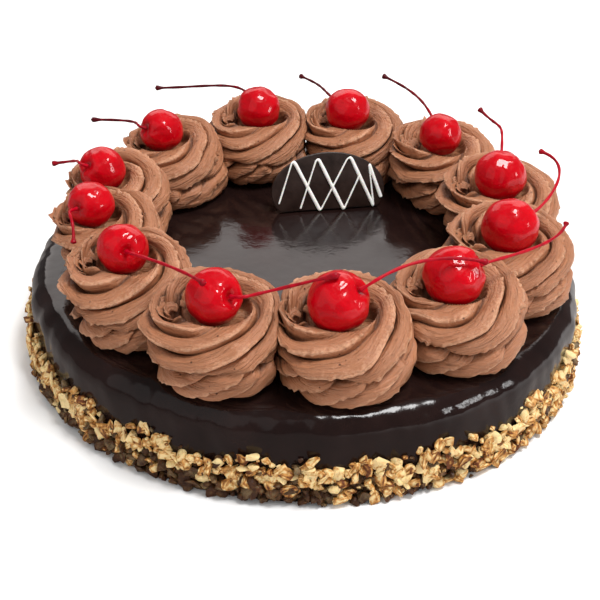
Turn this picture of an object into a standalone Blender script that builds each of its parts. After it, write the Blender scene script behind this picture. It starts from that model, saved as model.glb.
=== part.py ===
"""Chocolate cheesecake with a ring of piped rosettes, stemmed cherries and one chocolate plaque.

The cake is one glazed solid whose foot is covered with chopped nuts. Twelve piped rosettes stand
on its top in a ring, a cherry sits in each, and every cherry has its stem. A flat oval plaque
with zigzags of piped white chocolate stands on the top, in front of the rosettes at the back.

Units are metres and +Z is up. The origin is the centre of the flat underside, and the front of
the cake faces -Y.
"""

import math
import random
from dataclasses import dataclass

import bmesh
import bpy
from mathutils import Matrix, Vector

MM = 0.001
GAP = 0.3 * MM
SEED = 7

# Cake body
GLAZE_RADIUS = 114 * MM
CAKE_HEIGHT = 36 * MM
SHOULDER_RADIUS = 9 * MM
SHOULDER_STEPS = 3
TOP_FLAT_RADIUS = GLAZE_RADIUS - SHOULDER_RADIUS
CAKE_STEPS = 124

# Band of chopped nuts round the foot
NUT_BAND_HEIGHT = 17 * MM
NUT_BAND_ROWS = 5
NUT_BAND_RELIEF = (0.8 * MM, 3.8 * MM)
NUT_BAND_FOOT = 1.0 * MM
NUT_BAND_EDGE = 4 * MM
NUT_LENGTH = (5.0 * MM, 7.0 * MM)
NUT_GRAINS = 42

# Ring of rosettes and cherries
RING_RADIUS = 85.5 * MM
ROSETTE_HEIGHT = 26 * MM
ROSETTE_TILT = 2.5 * MM
ROSETTE_START_DEG = 20
ROSETTE_COLUMNS = 18
ROWS_PER_TURN = 6
VISIBLE_ROWS = 12
RIDGE_RELIEF = 0.75 * MM
TURN_GROOVE = 2.2 * MM
PRESS_START = 0.7
PRESS_SOFTNESS = 6 * MM
WELL_CLEARANCE = 1.1 * MM
WELL_TAPER = 0.62
CHERRY_RISE = 29.3 * MM
CHERRY_COLUMNS = 10
CHERRY_ROWS = 7
DIMPLE_DEPTH = 0.20
STEM_RADIUS = 0.65 * MM
STEM_STEPS = (0.0, 0.2, 0.4, 0.6, 0.78, 0.93, 0.97, 1.0)
STEM_SWELL = (1.0, 1.0, 1.0, 1.0, 1.0, 1.1, 2.1, 1.7)

# Side profile of a rosette, as shares of its radius and its height, from its foot to the well
ROSETTE_PROFILE = (
    (0.86, 0.00),
    (0.94, 0.17),
    (0.93, 0.36),
    (0.97, 0.54),
    (1.00, 0.72),
    (0.90, 0.90),
    (0.72, 1.00),
    (0.54, 1.00),
    (0.42, 0.95),
)

# Plaque
PLAQUE_WIDTH = 51.5 * MM
PLAQUE_HEIGHT = 25.5 * MM
PLAQUE_THICKNESS = 2.2 * MM
PLAQUE_FOOT_DROP = 0.7
PLAQUE_PLACE = Vector((10 * MM, 40 * MM, CAKE_HEIGHT + 2 * GAP))
PLAQUE_LEAN_DEG = 18
PLAQUE_TURN_DEG = 12
DRIZZLE_WIDTH = 1.4 * MM

# Corners of the two strands of drizzle on the plaque's face, from the middle of its foot
LONG_STRAND_MM = ((-23, 6), (-16, 22), (-4, 2), (10, 23), (20, 3), (18, 18), (23, 6))
SHORT_STRAND_MM = ((-13, 2), (-5, 23), (7, 2), (14, 15))


@dataclass(frozen=True)
class Topping:
    """One rosette, its cherry and the cherry's stem, with lengths in millimetres."""

    ring_deg: float  # place of the cherry round the ring, anticlockwise from +X
    ring_shift: float  # how far out from the ring's own radius
    swirl_radius: float  # of the rosette
    swirl_shift: tuple  # from the cherry to the rosette's middle, along X and Y
    cherry_radius: float
    stem_root: tuple  # direction from the cherry's centre to its dimple
    stem_reach: float  # how far the stem heads straight out of its dimple
    stem_pull: tuple  # point the stem bends towards, from the cherry's centre
    stem_tip: tuple  # its free end, from the cherry's centre


TOPPINGS = (
    Topping(140, 0.6, 21.5, (4, -1), 9.8, (-7, -6, 4), 11, (-3, 3, 4), (-33, 8, 1)),
    Topping(106, 1.3, 22.5, (0, -2), 10.4, (-6, 5, 6), 8, (-27, 9, 6), (-49, 7, 6)),
    Topping(78, 0.4, 23.5, (3, -1), 10.6, (-7, 7, 3), 10, (-11, 17, 5), (-23, 29, 5)),
    Topping(45, -1.7, 23.0, (1, 0), 9.7, (-3, 8, 4), 13, (-12, 20, 13), (-26, 29, 16)),
    Topping(13, -2.3, 25.0, (0, 0), 11.3, (1, 9, 5), 22, (3, 23, 9), (-7, 34, 16)),
    Topping(-18, -2.1, 25.0, (0, 0), 11.5, (8, 2, 5), 7, (31, 30, 14), (14, 34, 17)),
    Topping(-50, -1.5, 25.0, (2, 0), 11.7, (9, 0, 5), 8, (41, 18, 3), (44, 27, 9)),
    Topping(-82, -0.6, 25.5, (1, 0), 11.4, (8, -2, 7), 9, (27, 14, 15), (53, 13, 10)),
    Topping(-111, 3.2, 25.5, (0, 0), 10.6, (7, -6, 4), 11, (4, -6, 2), (44, -4, 13)),
    Topping(-143, -0.5, 24.0, (1, -4), 10.0, (3, -9, 4), 8, (22, -25, 9), (34, -41, 11)),
    Topping(-169, 1.5, 23.0, (5, -1), 9.5, (-5, -8, 2), 9, (-3, -16, 6), (-3, -25, -4)),
    Topping(-190, 1.8, 21.5, (5, 0), 9.9, (-6, -7, 5), 11, (-5, 4, 3), (-23, 8, -2)),
)


def clear_scene():
    """Remove every object of the open file."""
    for old in list(bpy.data.objects):
        bpy.data.objects.remove(old, do_unlink=True)


def new_collection(name):
    """Make a collection under the scene's own."""
    made = bpy.data.collections.new(name)
    bpy.context.scene.collection.children.link(made)
    return made


def plain_material(name, colour, roughness):
    """A Principled material of one colour."""
    made = bpy.data.materials.new(name)
    made.use_nodes = True
    shader = made.node_tree.nodes["Principled BSDF"]
    shader.inputs["Base Color"].default_value = (*colour, 1.0)
    shader.inputs["Roughness"].default_value = roughness
    return made


def object_from(name, mesh, collection, material=None):
    """Link a new object that shows this mesh."""
    made = bpy.data.objects.new(name, mesh)
    collection.objects.link(made)
    if material is not None:
        mesh.materials.clear()
        mesh.materials.append(material)
    return made


def mesh_from(name, bm):
    """Turn a bmesh into a mesh with its faces pointing out, and free the bmesh."""
    bmesh.ops.recalc_face_normals(bm, faces=bm.faces[:])
    mesh = bpy.data.meshes.new(name)
    bm.to_mesh(mesh)
    bm.free()
    return mesh


def evaluated_mesh(obj):
    """A plain mesh of what an object's modifiers or curve settings make."""
    bpy.context.view_layer.update()
    graph = bpy.context.evaluated_depsgraph_get()
    return bpy.data.meshes.new_from_object(obj.evaluated_get(graph), depsgraph=graph)


def fuse(target, others):
    """Join the meshes of a collection into the target with one union, and remove them."""
    union = target.modifiers.new("Union", "BOOLEAN")
    union.operation = "UNION"
    union.operand_type = "COLLECTION"
    union.collection = others
    fused = evaluated_mesh(target)
    target.modifiers.remove(union)
    target.data = fused
    for old in list(others.objects):
        bpy.data.objects.remove(old, do_unlink=True)
    bpy.data.collections.remove(others)


# ---- Cake ---------------------------------------------------------------------------------------


def cake_profile():
    """Radius and height down the cake's outside, from the middle of its top to that of its foot."""
    corner = Vector((TOP_FLAT_RADIUS, CAKE_HEIGHT - SHOULDER_RADIUS))
    points = [(0.0, CAKE_HEIGHT)]
    for step in range(SHOULDER_STEPS + 1):
        turn = math.radians(90 * (1 - step / SHOULDER_STEPS))
        points.append(
            (
                corner.x + SHOULDER_RADIUS * math.cos(turn),
                corner.y + SHOULDER_RADIUS * math.sin(turn),
            )
        )
    band_top = NUT_BAND_HEIGHT + NUT_BAND_EDGE
    points += [
        (GLAZE_RADIUS, band_top * (1 - row / NUT_BAND_ROWS)) for row in range(NUT_BAND_ROWS + 1)
    ]
    points.append((0.0, 0.0))
    return points


def turned_cake(collection):
    """The cake's smooth body: its profile turned about the Z axis."""
    profile = cake_profile()
    mesh = bpy.data.meshes.new("cake")
    mesh.from_pydata(
        [(radius, 0.0, height) for radius, height in profile],
        [(i, i + 1) for i in range(len(profile) - 1)],
        [],
    )
    body = object_from("cake", mesh, collection)
    screw = body.modifiers.new("Turn", "SCREW")
    screw.steps = screw.render_steps = CAKE_STEPS
    screw.use_merge_vertices = True
    screw.merge_threshold = 0.01 * MM
    turned = evaluated_mesh(body)
    body.modifiers.remove(screw)
    body.data = turned
    return body


def roughen_nut_band(body, rng):
    """Push the foot's rings out by uneven steps the size of chopped nuts."""
    bm = bmesh.new()
    bm.from_mesh(body.data)
    bmesh.ops.remove_doubles(bm, verts=bm.verts[:], dist=0.01 * MM)
    for vert in sorted(bm.verts, key=lambda v: (round(v.co.z, 6), math.atan2(v.co.y, v.co.x))):
        radius = math.hypot(vert.co.x, vert.co.y)
        edge = NUT_BAND_HEIGHT + rng.uniform(-1, 1) * NUT_BAND_EDGE
        relief = rng.uniform(*NUT_BAND_RELIEF)
        drop = rng.uniform(-0.25, 0.25) * NUT_BAND_HEIGHT / NUT_BAND_ROWS
        if radius < GLAZE_RADIUS - 0.1 * MM or vert.co.z > edge:
            continue
        on_foot = vert.co.z < MM
        vert.co.xy *= (GLAZE_RADIUS + relief + on_foot * NUT_BAND_FOOT) / radius
        vert.co.z += 0.0 if on_foot else drop
    body.data = mesh_from("cake", bm)


def nut_grain(name, collection, rng, turn, height):
    """One chopped nut: an uneven faceted lump, half sunk in the band's face."""
    bpy.ops.mesh.primitive_ico_sphere_add(subdivisions=1, radius=0.5)
    grain = bpy.context.object
    grain.name = name
    for vert in grain.data.vertices:
        vert.co *= rng.uniform(0.80, 1.15)
    length = rng.uniform(*NUT_LENGTH)
    size = Vector((length, length * rng.uniform(0.6, 0.85), length * rng.uniform(0.5, 0.8)))
    place = Vector((math.cos(turn), math.sin(turn), 0)) * (GLAZE_RADIUS + 0.34 * length)
    place.z = height
    spin = Matrix.Rotation(rng.uniform(0, math.tau), 4, Vector((1, rng.random(), rng.random())))
    facing = Matrix.Rotation(turn + math.pi / 2, 4, "Z")
    grain.data.transform(Matrix.Translation(place) @ facing @ spin @ Matrix.Diagonal((*size, 1)))
    for old in list(grain.users_collection):
        old.objects.unlink(grain)
    collection.objects.link(grain)
    return grain


def build_cake(collection, rng):
    """The glazed body with its band of nuts, as one solid."""
    body = turned_cake(collection)
    roughen_nut_band(body, rng)
    grains = new_collection("nut grains")
    for index in range(NUT_GRAINS):
        turn = math.tau * (index + rng.uniform(-0.3, 0.3)) / NUT_GRAINS
        level = NUT_BAND_HEIGHT * (0.95 if index % 2 else 0.55) + rng.uniform(-1, 1) * 1.5 * MM
        nut_grain(f"grain_{index:02d}", grains, rng, turn, level)
    fuse(body, grains)
    body.data.materials.clear()
    body.data.materials.append(plain_material("dark glaze", (0.028, 0.014, 0.010), 0.12))
    return body


# ---- Rosettes -----------------------------------------------------------------------------------


def rosette_outline(share, radius):
    """Point and outward normal of a rosette's side at a share of the way from foot to well."""
    last = len(ROSETTE_PROFILE) - 1
    place = min(max(share, 0.0), 1.0) * last
    index = min(int(place), last - 1)
    sized = [Vector((x * radius, y * ROSETTE_HEIGHT)) for x, y in ROSETTE_PROFILE]
    point = sized[index].lerp(sized[index + 1], place - index)
    along = (sized[min(index + 2, last)] - sized[max(index - 1, 0)]).normalized()
    return point, Vector((along.y, -along.x))


def row_relief(row, share):
    """How far a row stands off the outline: ridges of the star tip, and the groove between turns."""
    fade = min(1.0, 6 * share, 6 * (1 - share))
    if row % ROWS_PER_TURN == 0:
        return -TURN_GROOVE * fade
    return (RIDGE_RELIEF if row % 2 else -RIDGE_RELIEF) * fade


def coiled_grid(bm, start_deg, radius):
    """The coiled skin of a rosette. Each full turn climbs by the rows of one turn, so that its
    ridges run on as one coil, and rows past the foot or the well shrink to that edge."""
    grid = []
    for column in range(ROSETTE_COLUMNS + 1):
        turn = column / ROSETTE_COLUMNS
        angle = math.radians(start_deg) + math.tau * turn
        verts = []
        for row in range(VISIBLE_ROWS + ROWS_PER_TURN + 1):
            share = min(max((row - ROWS_PER_TURN * (1 - turn)) / VISIBLE_ROWS, 0.0), 1.0)
            point, normal = rosette_outline(share, radius)
            point += normal * row_relief(row, share)
            verts.append(
                bm.verts.new((point.x * math.cos(angle), point.x * math.sin(angle), point.y))
            )
        grid.append(verts)
    for left, right in zip(grid, grid[1:]):
        for row in range(len(left) - 1):
            bm.faces.new((left[row], right[row], right[row + 1], left[row + 1]))
    bmesh.ops.remove_doubles(bm, verts=bm.verts[:], dist=0.02 * MM)
    bmesh.ops.dissolve_degenerate(bm, dist=0.02 * MM, edges=bm.edges[:])


def close_coil(bm, well_floor):
    """Close the foot with one flat face, and the well with a small cup under the cherry."""
    open_edges = [edge for edge in bm.edges if edge.is_boundary]
    rim = [edge for edge in open_edges if min(v.co.z for v in edge.verts) > 0.5 * ROSETTE_HEIGHT]
    foot = [edge for edge in open_edges if edge not in rim]
    bmesh.ops.edgeloop_fill(bm, edges=foot)
    cup = bmesh.ops.extrude_edge_only(bm, edges=rim)["geom"]
    ring = [item for item in cup if isinstance(item, bmesh.types.BMVert)]
    for vert in ring:
        vert.co.xy *= WELL_TAPER
        vert.co.z = well_floor
    inner = [edge for edge in bm.edges if edge.is_boundary]
    bmesh.ops.edgeloop_fill(bm, edges=inner)


def tilt_up_behind(bm, radius):
    """Raise the far side of the swirl a little, and lower its near side."""
    for vert in bm.verts:
        share = vert.co.y / radius * vert.co.z / ROSETTE_HEIGHT
        vert.co.z += ROSETTE_TILT * share


def press_against(bm, away):
    """Squeeze the side that would pass the midplane to the neighbouring rosette this way."""
    limit = (away.length - GAP) / 2
    away = away.normalized()
    start = PRESS_START * limit
    room = limit + PRESS_SOFTNESS - start
    for vert in bm.verts:
        reach = vert.co.dot(away)
        if reach > start:
            pressed = start + room * (1 - math.exp((start - reach) / room))
            vert.co += (min(pressed, limit) - reach) * away


def keep_clear(bm, centre, least):
    """Keep every point this far from a point, which is the middle of a cherry."""
    for vert in bm.verts:
        off = vert.co - centre
        if off.length < least:
            vert.co = centre + off.normalized() * least


def cherry_centre(topping):
    """The middle of a topping's cherry."""
    angle = math.radians(topping.ring_deg)
    radius = RING_RADIUS + topping.ring_shift * MM
    height = CAKE_HEIGHT + GAP + CHERRY_RISE
    return Vector((radius * math.cos(angle), radius * math.sin(angle), height))


def rosette_place(topping):
    """The middle of a rosette's foot."""
    shift = Vector((*topping.swirl_shift, 0)) * MM
    return cherry_centre(topping) + shift - Vector((0, 0, CHERRY_RISE))


def build_rosette(index, collection, material, rng):
    """One piped rosette, squeezed between its two neighbours and hollowed for its cherry."""
    topping = TOPPINGS[index]
    place = rosette_place(topping)
    radius = topping.swirl_radius * MM
    cherry_space = topping.cherry_radius * MM + WELL_CLEARANCE
    bm = bmesh.new()
    coiled_grid(bm, ROSETTE_START_DEG + rng.uniform(-20, 20), radius)
    close_coil(bm, CHERRY_RISE - cherry_space)
    tilt_up_behind(bm, radius)
    for step in (-1, 1):
        press_against(bm, rosette_place(TOPPINGS[(index + step) % len(TOPPINGS)]) - place)
    for neighbour in TOPPINGS:
        space = neighbour.cherry_radius * MM + WELL_CLEARANCE
        keep_clear(bm, cherry_centre(neighbour) - place, space)
    rosette = object_from(f"rosette_{index + 1:02d}", mesh_from("rosette", bm), collection, material)
    rosette.location = place
    return rosette


# ---- Cherries and stems -------------------------------------------------------------------------


def build_cherry(index, collection, material):
    """One cherry: a sphere with a dimple where the stem grows, turned to its stem."""
    topping = TOPPINGS[index]
    radius = topping.cherry_radius * MM
    bm = bmesh.new()
    bmesh.ops.create_uvsphere(
        bm, u_segments=CHERRY_COLUMNS, v_segments=CHERRY_ROWS, radius=radius
    )
    dimple = max(bm.verts, key=lambda v: v.co.z)
    dimple.co.z -= DIMPLE_DEPTH * radius
    cherry = object_from(f"cherry_{index + 1:02d}", mesh_from("cherry", bm), collection, material)
    cherry.data.shade_smooth()
    cherry.location = cherry_centre(topping)
    cherry.rotation_euler = Vector(topping.stem_root).to_track_quat("Z", "Y").to_euler()
    return cherry


def stem_path(topping):
    """Points of a stem from its dimple to its tip, relative to the cherry's centre."""
    way = Vector(topping.stem_root).normalized()
    dimple = topping.cherry_radius * MM * (1 - DIMPLE_DEPTH)
    root = way * (dimple + STEM_RADIUS)
    knots = (
        root,
        root + way * topping.stem_reach * MM,
        Vector(topping.stem_pull) * MM,
        Vector(topping.stem_tip) * MM,
    )
    path = []
    for t in STEM_STEPS:
        shares = ((1 - t) ** 3, 3 * t * (1 - t) ** 2, 3 * t * t * (1 - t), t**3)
        path.append(sum((knot * share for knot, share in zip(knots, shares)), Vector()))
    return path


def build_stem(index, collection, material):
    """One stem: a thin bowed tube that swells to a knob at its free end."""
    topping = TOPPINGS[index]
    curve = bpy.data.curves.new(f"stem_{index + 1:02d}", "CURVE")
    curve.dimensions = "3D"
    curve.bevel_depth = STEM_RADIUS
    curve.bevel_resolution = 1
    curve.use_fill_caps = True
    path = stem_path(topping)
    spline = curve.splines.new("POLY")
    spline.points.add(len(path) - 1)
    for point, place, swell in zip(spline.points, path, STEM_SWELL):
        point.co = (*place, 1)
        point.radius = swell
    curve.materials.append(material)
    stem = object_from(curve.name, curve, collection)
    stem.location = cherry_centre(topping)
    return stem


# ---- Plaque -------------------------------------------------------------------------------------


def plaque_outline(steps=24):
    """An oval cut off flat where it stands, in its own plane, with its foot on the X axis."""
    half_width, half_height = PLAQUE_WIDTH / 2, PLAQUE_HEIGHT / (1 + PLAQUE_FOOT_DROP)
    foot = -PLAQUE_FOOT_DROP * half_height
    points = []
    for step in range(steps):
        turn = math.tau * step / steps
        height = max(half_height * math.sin(turn), foot)
        points.append(Vector((half_width * math.cos(turn), height - foot, 0)))
    return points


def drizzle_strand(name, corners_mm, lift, collection):
    """One strand of white chocolate as a closed mesh, half sunk in the plaque's face."""
    curve = bpy.data.curves.new(name, "CURVE")
    curve.dimensions = "3D"
    curve.bevel_depth = DRIZZLE_WIDTH / 2
    curve.bevel_resolution = 0
    curve.use_fill_caps = True
    spline = curve.splines.new("POLY")
    spline.points.add(len(corners_mm) - 1)
    for point, (across, up) in zip(spline.points, corners_mm):
        point.co = (across * MM, up * MM, lift, 1)
    guide = object_from(name, curve, collection)
    mesh = evaluated_mesh(guide)
    bpy.data.objects.remove(guide, do_unlink=True)
    bm = bmesh.new()
    bm.from_mesh(mesh)
    bmesh.ops.remove_doubles(bm, verts=bm.verts[:], dist=0.01 * MM)
    return object_from(name, mesh_from(name, bm), collection)


def build_plaque(collection):
    """The standing chocolate plaque with its fused zigzags, as one solid."""
    curve = bpy.data.curves.new("plaque outline", "CURVE")
    curve.dimensions = "2D"
    curve.fill_mode = "BOTH"
    curve.extrude = PLAQUE_THICKNESS / 2
    spline = curve.splines.new("POLY")
    outline = plaque_outline()
    spline.points.add(len(outline) - 1)
    for point, place in zip(spline.points, outline):
        point.co = (*place, 1)
    spline.use_cyclic_u = True
    guide = object_from("plaque outline", curve, collection)
    slab = evaluated_mesh(guide)
    bpy.data.objects.remove(guide, do_unlink=True)
    bm = bmesh.new()
    bm.from_mesh(slab)
    bmesh.ops.remove_doubles(bm, verts=bm.verts[:], dist=0.01 * MM)
    plaque = object_from("plaque", mesh_from("plaque", bm), collection)
    strands = new_collection("drizzle strands")
    for number, corners_mm in enumerate((LONG_STRAND_MM, SHORT_STRAND_MM)):
        lift = PLAQUE_THICKNESS / 2 + (0.05 + 0.17 * number) * DRIZZLE_WIDTH
        drizzle_strand(f"strand_{number}", corners_mm, lift, strands)
    fuse(plaque, strands)
    plaque.data.materials.clear()
    plaque.data.materials.append(plain_material("dark chocolate", (0.032, 0.014, 0.010), 0.35))
    plaque.location = PLAQUE_PLACE
    plaque.rotation_euler = (math.radians(90 - PLAQUE_LEAN_DEG), 0, math.radians(PLAQUE_TURN_DEG))
    return plaque


def main():
    """Build every piece of the cake in one collection."""
    clear_scene()
    collection = new_collection("Chocolate cheesecake")
    bpy.context.view_layer.update()
    build_cake(collection, random.Random(SEED))
    cream = plain_material("chocolate cream", (0.36, 0.19, 0.11), 0.55)
    cherry_red = plain_material("cherry red", (0.55, 0.004, 0.008), 0.08)
    stem_red = plain_material("stem red", (0.22, 0.012, 0.014), 0.35)
    for index in range(len(TOPPINGS)):
        build_rosette(index, collection, cream, random.Random(SEED + index))
        build_cherry(index, collection, cherry_red)
        build_stem(index, collection, stem_red)
    build_plaque(collection)


main()
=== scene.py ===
"""Looks of a chocolate cheesecake: glaze, chopped nuts, piped mocha rosettes, cherries and a plaque.

Units are metres, +Z is up and the front faces -Y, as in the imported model. Every piece is made at
its own place, so each object sits at the origin.
"""

import logging
import math
from dataclasses import dataclass, field
from enum import Enum

import bpy
import numpy as np
from mathutils import Matrix, Vector


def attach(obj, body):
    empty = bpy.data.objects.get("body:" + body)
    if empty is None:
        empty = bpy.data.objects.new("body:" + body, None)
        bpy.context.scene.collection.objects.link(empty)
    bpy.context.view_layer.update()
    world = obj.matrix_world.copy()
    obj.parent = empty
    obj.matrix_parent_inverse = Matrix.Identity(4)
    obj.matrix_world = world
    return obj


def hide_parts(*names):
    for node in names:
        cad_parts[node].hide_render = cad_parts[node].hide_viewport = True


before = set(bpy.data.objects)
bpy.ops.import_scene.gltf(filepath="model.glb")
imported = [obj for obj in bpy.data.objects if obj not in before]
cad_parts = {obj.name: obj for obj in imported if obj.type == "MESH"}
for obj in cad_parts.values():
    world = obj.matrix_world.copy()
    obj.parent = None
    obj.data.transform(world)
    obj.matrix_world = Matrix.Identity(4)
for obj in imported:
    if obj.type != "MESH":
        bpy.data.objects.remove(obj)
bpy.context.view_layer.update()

LOG = logging.getLogger("cheesecake")
MM = 0.001
TAU = math.tau
BODY = "root"

Points = np.ndarray
Colour = tuple[float, float, float]
Socket = bpy.types.NodeSocket


# ---- Modelling tools ----------------------------------------------------------------------------


def take(piece: bpy.types.Object) -> None:
    """Select one object alone and make it the active one.

    Args:
        piece: The object that the next operators work on.
    """
    bpy.ops.object.select_all(action="DESELECT")
    piece.select_set(True)
    bpy.context.view_layer.objects.active = piece


def points_of(piece: bpy.types.Object) -> Points:
    """Read a mesh's points.

    Args:
        piece: A mesh object.

    Returns:
        Its points, one row each.
    """
    flat = np.empty(len(piece.data.vertices) * 3)
    piece.data.vertices.foreach_get("co", flat)
    return flat.reshape(-1, 3)


def place_points(piece: bpy.types.Object, points: Points) -> None:
    """Move every point of a mesh.

    Args:
        piece: A mesh object.
        points: The new places, one row for each point.
    """
    piece.data.vertices.foreach_set("co", np.ascontiguousarray(points, float).ravel())
    piece.data.update()


def keep_values(piece: bpy.types.Object, name: str, values: np.ndarray) -> None:
    """Store a number or a vector for each point, for a material to read.

    Args:
        piece: A mesh object.
        name: Name of the attribute.
        values: One number, or one row of three numbers, for each point.
    """
    kind, slot = ("FLOAT", "value") if values.ndim == 1 else ("FLOAT_VECTOR", "vector")
    stored = piece.data.attributes.new(name, kind, "POINT")
    stored.data.foreach_set(slot, np.ascontiguousarray(values, np.float32).ravel())


def weld(piece: bpy.types.Object, distance: float) -> None:
    """Merge points that coincide and turn every face outwards.

    Args:
        piece: A mesh object.
        distance: How close two points are to be one, in metres.
    """
    take(piece)
    bpy.ops.object.mode_set(mode="EDIT")
    bpy.ops.mesh.select_all(action="SELECT")
    bpy.ops.mesh.remove_doubles(threshold=distance)
    bpy.ops.mesh.normals_make_consistent(inside=False)
    bpy.ops.object.mode_set(mode="OBJECT")


def wrapped_grid(name: str, columns: int, rows: int) -> tuple[bpy.types.Object, np.ndarray, np.ndarray]:
    """Add a flat grid that a shape function then wraps into a skin.

    Args:
        name: Name of the new object.
        columns: Faces along the first direction.
        rows: Faces along the second direction.

    Returns:
        The object, and for each point its share of the way along both directions.
    """
    bpy.ops.object.select_all(action="DESELECT")
    bpy.ops.mesh.primitive_grid_add(x_subdivisions=columns, y_subdivisions=rows, size=1.0)
    piece = bpy.context.object
    piece.name = piece.data.name = name
    points = points_of(piece)
    return piece, points[:, 0] + 0.5, points[:, 1] + 0.5


def joined(name: str, parts: list[tuple[Points, np.ndarray]]) -> bpy.types.Object:
    """Make one mesh of many small ones.

    Args:
        name: Name of the new object.
        parts: For each small mesh its points and its triangles.

    Returns:
        The new object, linked to the scene.
    """
    starts = np.cumsum([0] + [len(points) for points, _ in parts[:-1]])
    mesh = bpy.data.meshes.new(name)
    points = np.concatenate([points for points, _ in parts])
    faces = np.concatenate([faces + start for (_, faces), start in zip(parts, starts)])
    mesh.from_pydata(points.tolist(), [], faces.tolist())
    piece = bpy.data.objects.new(name, mesh)
    bpy.context.scene.collection.objects.link(piece)
    return piece


def unit(vectors: np.ndarray) -> np.ndarray:
    """Scale vectors to a length of one."""
    return vectors / np.maximum(np.linalg.norm(vectors, axis=-1, keepdims=True), 1e-12)


def hump(value: np.ndarray, middle: float, width: float) -> np.ndarray:
    """A smooth hill of height one round a middle value."""
    return np.exp(-(((value - middle) / width) ** 2))


def facing(angle: np.ndarray, toward_deg: float, spread_deg: float) -> np.ndarray:
    """How much a direction round Z faces another one.

    Args:
        angle: Directions in radians.
        toward_deg: The direction that counts fully.
        spread_deg: How far the effect reaches to both sides.

    Returns:
        One where it faces it, falling off to nothing.
    """
    off = np.angle(np.exp(1j * (angle - math.radians(toward_deg))))
    return np.exp(-((off / math.radians(spread_deg)) ** 2))


@dataclass(frozen=True)
class Waves:
    """Smooth seeded unevenness: many sine waves of about one length, in every direction."""

    seed: int
    length: float
    count: int = 22

    def at(self, points: np.ndarray) -> np.ndarray:
        """Read the unevenness.

        Args:
            points: One row of coordinates for each place, in metres.

        Returns:
            A value for each place, mostly between -2 and 2.
        """
        rng = np.random.default_rng(self.seed)
        ways = unit(rng.normal(size=(self.count, points.shape[1])))
        lengths = self.length * rng.uniform(0.6, 1.8, self.count)
        phases = rng.uniform(0, TAU, self.count)
        waves = np.sin(points @ (TAU * ways / lengths[:, None]).T + phases)
        return waves.sum(axis=1) / math.sqrt(self.count / 2)


# ---- Finishes -----------------------------------------------------------------------------------


class Slot(Enum):
    """The record's material slots."""

    GLAZE = "glaze"
    NUTS = "nuts"
    CREAM = "cream"
    CHERRY = "cherry"
    STEM = "stem"
    PLAQUE = "plaque"
    DRIZZLE = "drizzle"


def preset(node: bpy.types.Node, **values: float | tuple) -> bpy.types.Node:
    """Set values on a node's own inputs, with _ for a space in their names."""
    for socket, value in values.items():
        node.inputs[socket.replace("_", " ")].default_value = value
    return node


class Effects:
    """Node groups that several finishes share."""

    @staticmethod
    def _start(name: str) -> tuple[bpy.types.NodeTree, bpy.types.Node, bpy.types.Node]:
        """Open a new group.

        Args:
            name: Name of the group.

        Returns:
            The group with its input node and its output node.
        """
        group = bpy.data.node_groups.new(name, "ShaderNodeTree")
        group.interface.new_socket("Place", in_out="INPUT", socket_type="NodeSocketVector")
        group.interface.new_socket("Scale", in_out="INPUT", socket_type="NodeSocketFloat")
        group.interface.new_socket("Amount", in_out="OUTPUT", socket_type="NodeSocketFloat")
        return group, group.nodes.new("NodeGroupInput"), group.nodes.new("NodeGroupOutput")

    @classmethod
    def mottle(cls) -> bpy.types.NodeTree:
        """Soft clouds with finer ones in them, from nothing to one."""
        group = bpy.data.node_groups.get("mottle")
        if group:
            return group
        group, start, end = cls._start("mottle")
        noise = preset(group.nodes.new("ShaderNodeTexNoise"), Detail=4.0, Roughness=0.6)
        spread = preset(group.nodes.new("ShaderNodeMapRange"), From_Min=0.3, From_Max=0.7)
        for source, target in (
            (start.outputs["Place"], noise.inputs["Vector"]),
            (start.outputs["Scale"], noise.inputs["Scale"]),
            (noise.outputs["Fac"], spread.inputs["Value"]),
            (spread.outputs["Result"], end.inputs["Amount"]),
        ):
            group.links.new(source, target)
        return group

    @classmethod
    def pits(cls) -> bpy.types.NodeTree:
        """Scattered small round holes: one inside a hole, and nothing round it."""
        group = bpy.data.node_groups.get("pits")
        if group:
            return group
        group, start, end = cls._start("pits")
        cells = group.nodes.new("ShaderNodeTexVoronoi")
        few = preset(group.nodes.new("ShaderNodeMapRange"), From_Min=0.82, From_Max=1.0, To_Max=0.26)
        lone = group.nodes.new("ShaderNodeMath")
        lone.operation = "SUBTRACT"
        edge = preset(group.nodes.new("ShaderNodeMapRange"), From_Min=0.0, From_Max=0.12)
        part = group.nodes.new("ShaderNodeSeparateColor")
        for source, target in (
            (start.outputs["Place"], cells.inputs["Vector"]),
            (start.outputs["Scale"], cells.inputs["Scale"]),
            (cells.outputs["Color"], part.inputs["Color"]),
            (part.outputs["Red"], few.inputs["Value"]),
            (few.outputs["Result"], lone.inputs[0]),
            (cells.outputs["Distance"], lone.inputs[1]),
            (lone.outputs[0], edge.inputs["Value"]),
            (edge.outputs["Result"], end.inputs["Amount"]),
        ):
            group.links.new(source, target)
        return group


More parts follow.
